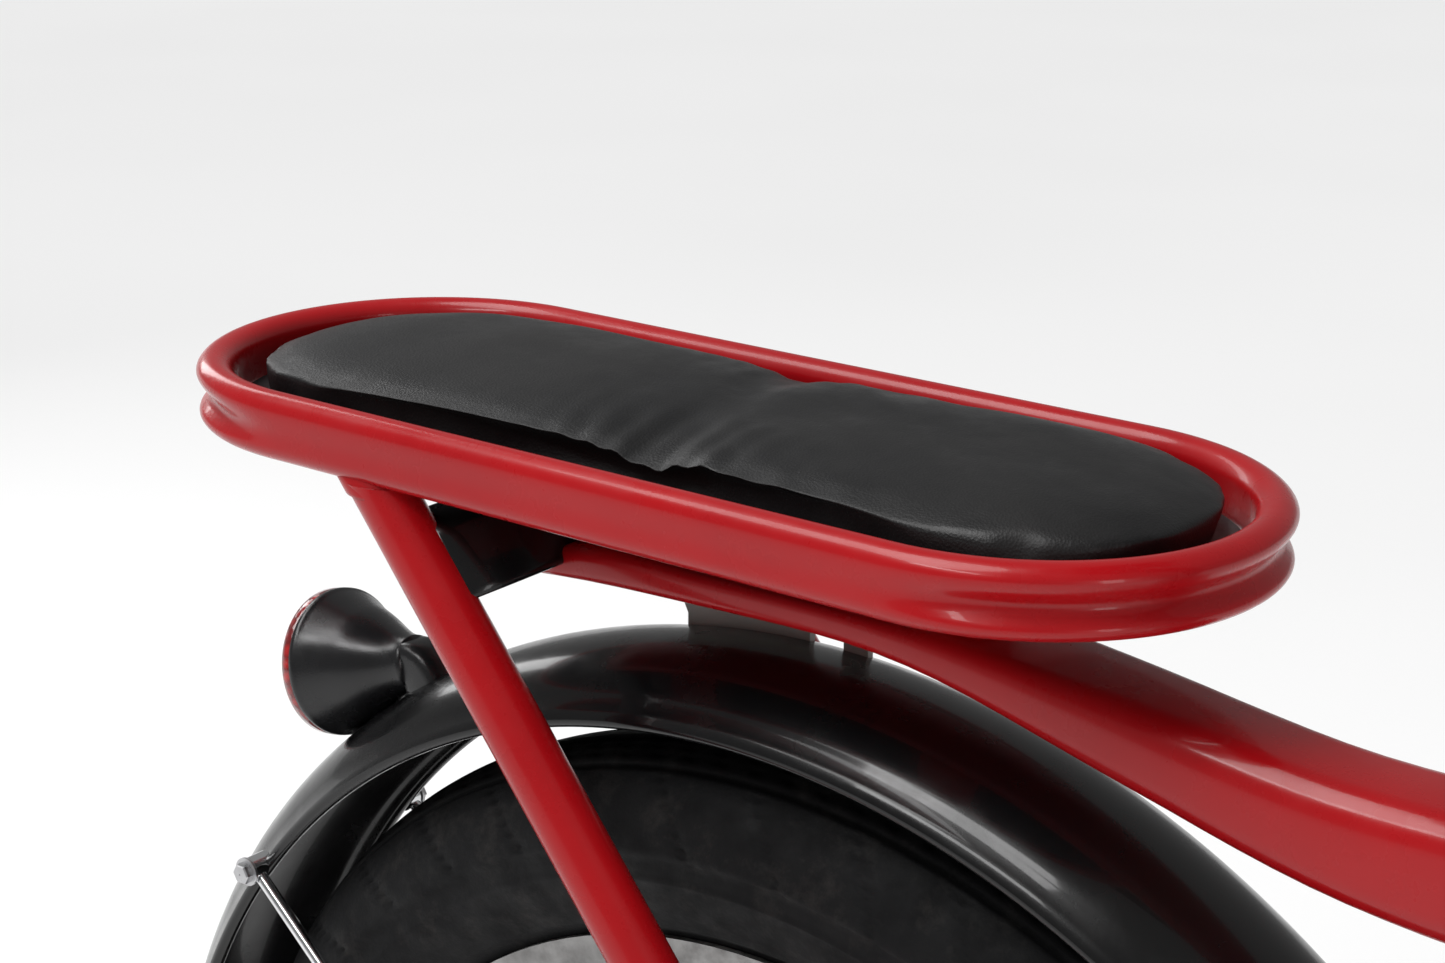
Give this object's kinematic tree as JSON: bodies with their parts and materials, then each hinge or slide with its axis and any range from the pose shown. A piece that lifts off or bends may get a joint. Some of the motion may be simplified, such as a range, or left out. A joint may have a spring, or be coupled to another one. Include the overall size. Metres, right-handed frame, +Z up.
{
  "type": "bicycle",
  "caption": "Step-through bicycle with wide tyres, full fenders, a padded passenger seat held in a red hoop over the rear wheel, cruiser handlebar, saddle and centre stand.",
  "frame": {"origin": "on the ground, midway between the rearmost and the foremost point and on the middle plane", "axes": "+X forward, +Y to the rider's left, +Z up"},
  "size_m": [1.6406, 0.6798, 1.0131],
  "materials": {
    "red_paint": "gloss",
    "black_paint": "gloss",
    "bright_steel": "satin",
    "chrome": "polished",
    "grey_alloy": "satin",
    "tyre": "matt, dusty sidewall",
    "rubber": "matt",
    "vinyl": "soft sheen vinyl cover over foam",
    "black_plastic": "moulded",
    "red_lens": "clear red",
    "clear_lens": "clear"
  },
  "bodies": {
    "frame": {"main_beam": "red_paint", "head_tube": "red_paint", "seat_tube": "red_paint", "bb_shell": "red_paint", "chainstay_left": "red_paint", "chainstay_right": "red_paint", "dropouts": "red_paint", "strut_left": "red_paint", "strut_right": "red_paint", "cross_member": "red_paint", "seat_hoop": "red_paint", "seat_straps": "red_paint", "pad_base": "black_plastic", "passenger_pad": "vinyl", "rear_fender": "black_paint", "rear_fender_brackets": "grey_alloy", "rear_fender_stays": "chrome", "tail_light_housing": "black_plastic", "tail_light_lens": "red_lens", "headset_cups": "bright_steel", "bb_cups": "bright_steel", "seat_clamp": "black_paint", "chain": "bright_steel", "brake_arm": "bright_steel", "rear_axle": "bright_steel", "rear_axle_nuts": "bright_steel", "stand_bracket": "black_paint"},
    "rear_wheel": {"rear_tyre": "tyre", "rear_rim": "grey_alloy", "rear_spokes": "chrome", "rear_hub": "grey_alloy"},
    "sprocket": {"rear_sprocket": "bright_steel"},
    "front_wheel": {"front_tyre": "tyre", "front_rim": "grey_alloy", "front_spokes": "chrome", "front_hub": "grey_alloy"},
    "fork": {"fork_crown": "black_paint", "fork_blades": "black_paint", "front_axle": "bright_steel", "front_fender": "black_paint", "front_fender_stays": "chrome", "headlight_housing": "black_plastic", "headlight_lens": "clear_lens", "stem": "black_paint", "handlebar": "chrome", "grips": "rubber"},
    "crank": {"crank_spindle": "bright_steel", "chainring": "bright_steel", "crank_arm_left": "grey_alloy", "crank_arm_right": "grey_alloy", "pedal_axles": "bright_steel"},
    "left_pedal": {"pedal_left": "black_plastic"},
    "right_pedal": {"pedal_right": "black_plastic"},
    "stand": {"stand_legs": "black_paint"},
    "seat": {"seat_post": "black_paint", "saddle_frame": "bright_steel", "saddle_base": "black_plastic", "saddle": "vinyl"},
    "lever": {"clamp_lever": "chrome"}
  },
  "joints": [
    {"name": "rear_wheel_spin", "type": "hinge", "parent": "frame", "child": "rear_wheel", "pos_m": [-0.51471, 0, 0.275], "axis": [0, 1, 0], "continuous": true},
    {"name": "crank_spin", "type": "hinge", "parent": "frame", "child": "crank", "pos_m": [-0.08971, 0, 0.29], "axis": [0, 1, 0], "continuous": true},
    {"name": "sprocket_spin", "type": "hinge", "parent": "frame", "child": "sprocket", "pos_m": [-0.51471, 0, 0.275], "axis": [0, 1, 0], "continuous": true},
    {"name": "left_pedal_spin", "type": "hinge", "parent": "crank", "child": "left_pedal", "pos_m": [-0.24971, 0, 0.29], "axis": [0, 1, 0], "continuous": true},
    {"name": "right_pedal_spin", "type": "hinge", "parent": "crank", "child": "right_pedal", "pos_m": [0.07029, 0, 0.29], "axis": [0, 1, 0], "continuous": true},
    {"name": "steer", "type": "hinge", "parent": "frame", "child": "fork", "pos_m": [0.35722, 0, 0.66013], "axis": [-0.342, 0, 0.9397], "range_deg": [-60, 60]},
    {"name": "front_wheel_spin", "type": "hinge", "parent": "fork", "child": "front_wheel", "pos_m": [0.54529, 0, 0.275], "axis": [0, 1, 0], "continuous": true},
    {"name": "stand_fold", "type": "hinge", "parent": "frame", "child": "stand", "pos_m": [-0.21471, 0, 0.19], "axis": [0, 1, 0], "range_deg": [0, 90]},
    {"name": "seat_height", "type": "slide", "parent": "frame", "child": "seat", "axis": [-0.309, 0, 0.9511], "range_m": [-0.08, 0.05]},
    {"name": "seat_lever", "type": "hinge", "parent": "frame", "child": "lever", "pos_m": [-0.24232, 0.02655, 0.67213], "axis": [-0.309, 0, 0.9511], "range_deg": [0, 150]}
  ],
  "couplings": [
    {"joint": "sprocket_spin", "follows": "crank_spin", "ratio": 2.4444}
  ]
}
